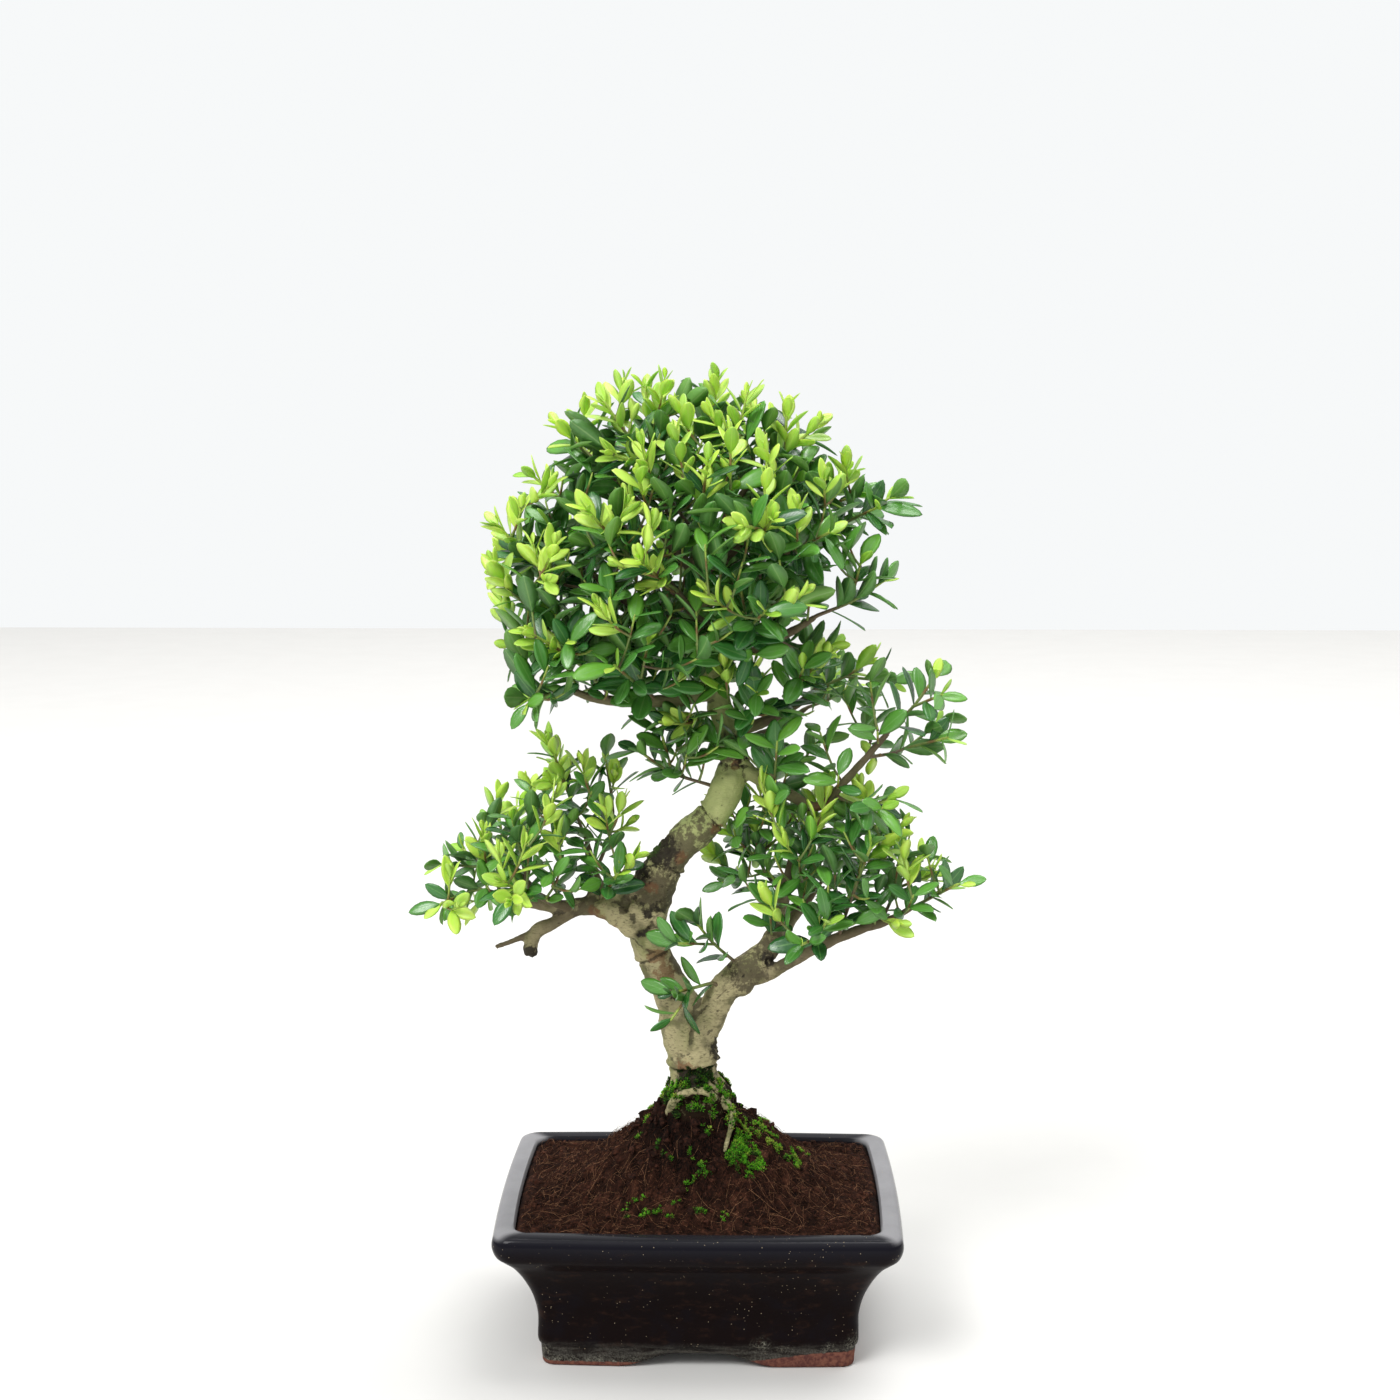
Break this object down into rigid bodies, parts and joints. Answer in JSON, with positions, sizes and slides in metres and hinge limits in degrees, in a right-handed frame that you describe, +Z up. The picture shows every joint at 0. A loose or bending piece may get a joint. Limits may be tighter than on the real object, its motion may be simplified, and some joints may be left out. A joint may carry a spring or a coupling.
{
  "type": "potted bonsai tree",
  "caption": "Japanese holly bonsai with an S-curved trunk, surface roots and rounded pads of small leaves, in a dark glazed rectangular pot on feet, filled with fibrous soil.",
  "frame": {"origin": "on the surface the pot stands on, below the middle of the whole object's bounding box, so the pot's own middle is a few millimetres to the right of it and in front of it", "axes": "+Z up, +X along the pot's long side to the right in the picture, +Y away from the viewer, so the pictured front faces -Y"},
  "size_m": [0.2724, 0.158, 0.4844],
  "materials": {
    "glaze": "gloss",
    "mesh_plastic": "matte",
    "substrate": "matte",
    "bark": "matte",
    "foliage": "satin"
  },
  "bodies": {
    "root": {"pot": "glaze", "drain_mesh_left": "mesh_plastic", "drain_mesh_right": "mesh_plastic", "soil": "substrate", "trunk": "bark", "crown_spray_01": "foliage", "crown_spray_02": "foliage", "crown_spray_03": "foliage", "crown_spray_04": "foliage", "crown_spray_05": "foliage", "crown_spray_06": "foliage", "crown_spray_07": "foliage", "crown_spray_08": "foliage", "crown_spray_09": "foliage", "crown_spray_10": "foliage", "crown_spray_11": "foliage", "crown_spray_12": "foliage", "crown_spray_13": "foliage", "crown_spray_14": "foliage", "crown_spray_15": "foliage", "crown_spray_16": "foliage", "crown_spray_17": "foliage", "crown_spray_18": "foliage", "crown_spray_19": "foliage", "crown_spray_20": "foliage", "crown_spray_21": "foliage", "crown_spray_22": "foliage", "crown_spray_23": "foliage", "crown_spray_24": "foliage", "crown_spray_25": "foliage", "crown_spray_26": "foliage", "crown_spray_27": "foliage", "crown_spray_28": "foliage", "crown_spray_29": "foliage", "left_spray_01": "foliage", "left_spray_02": "foliage", "left_spray_03": "foliage", "left_spray_04": "foliage", "left_spray_05": "foliage", "left_spray_06": "foliage", "left_spray_07": "foliage", "left_spray_08": "foliage", "middle_spray_01": "foliage", "middle_spray_02": "foliage", "middle_spray_03": "foliage", "middle_spray_04": "foliage", "middle_spray_05": "foliage", "middle_spray_06": "foliage", "middle_spray_07": "foliage", "right_spray_01": "foliage", "right_spray_02": "foliage", "right_spray_03": "foliage", "right_spray_04": "foliage", "right_spray_05": "foliage", "right_spray_06": "foliage", "right_spray_07": "foliage", "trunk_spray_01": "foliage", "trunk_spray_02": "foliage", "trunk_spray_03": "foliage", "trunk_spray_04": "foliage"}
  },
  "joints": []
}
